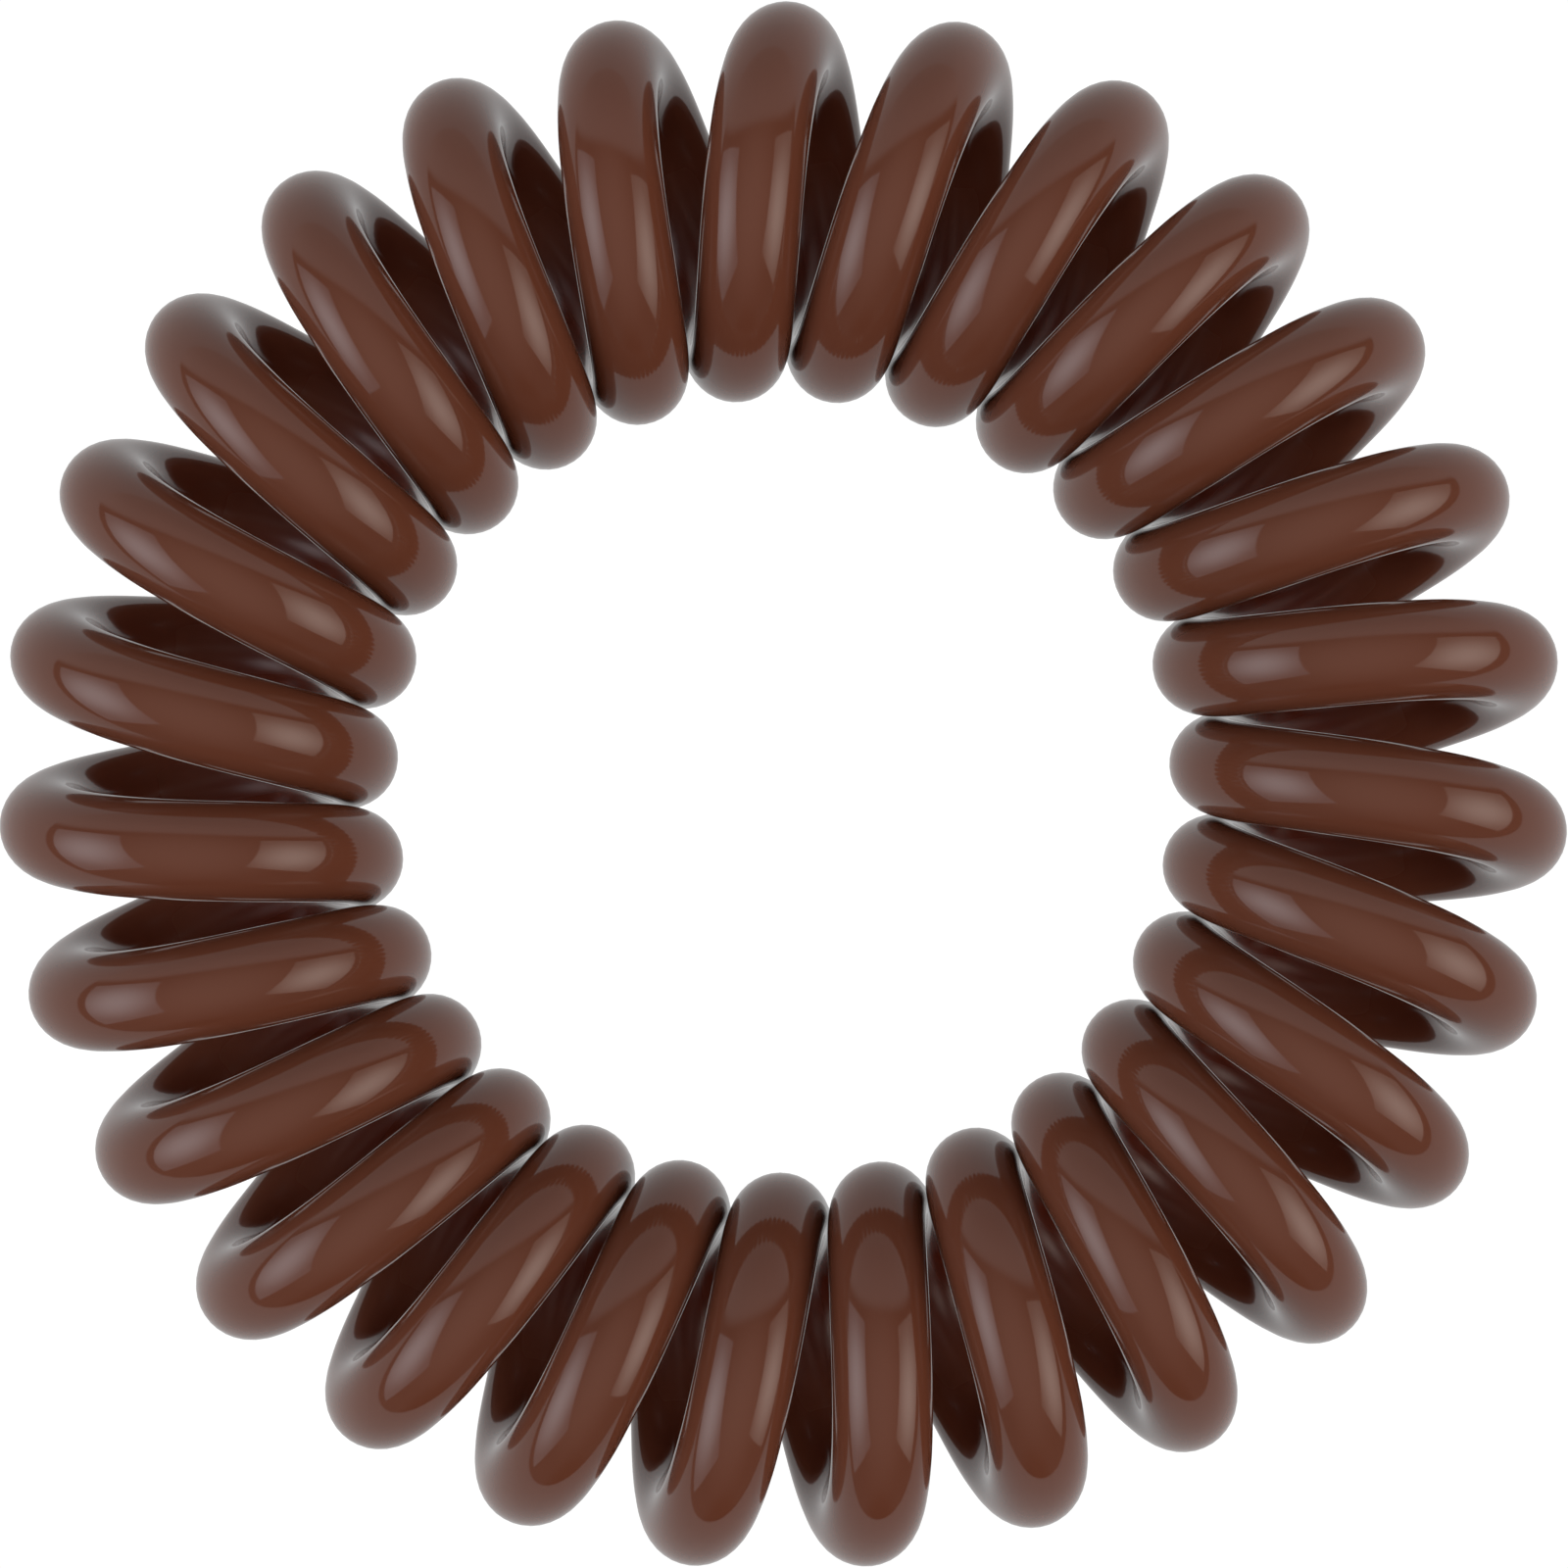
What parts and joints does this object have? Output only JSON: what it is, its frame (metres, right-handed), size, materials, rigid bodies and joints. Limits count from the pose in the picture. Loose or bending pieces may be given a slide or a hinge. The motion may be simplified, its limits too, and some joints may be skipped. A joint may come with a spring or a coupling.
{
  "type": "spiral hair tie",
  "caption": "Spiral hair tie: one springy plastic cord wound as a coil whose ends meet, so that it forms a ring that gathers and holds hair.",
  "frame": {"origin": "on the ring's axis, in the plane that the ring lies on, so every turn touches Z = 0 from above", "axes": "+Z along the ring's axis, up from the surface it lies on; +Y towards the tip of the first turn; +X to the right of that"},
  "size_m": [0.04, 0.0399, 0.0101],
  "materials": {
    "cord": "glossy dark brown polyurethane, as extruded"
  },
  "bodies": {
    "root": {"coiled_cord": "cord"}
  },
  "joints": []
}
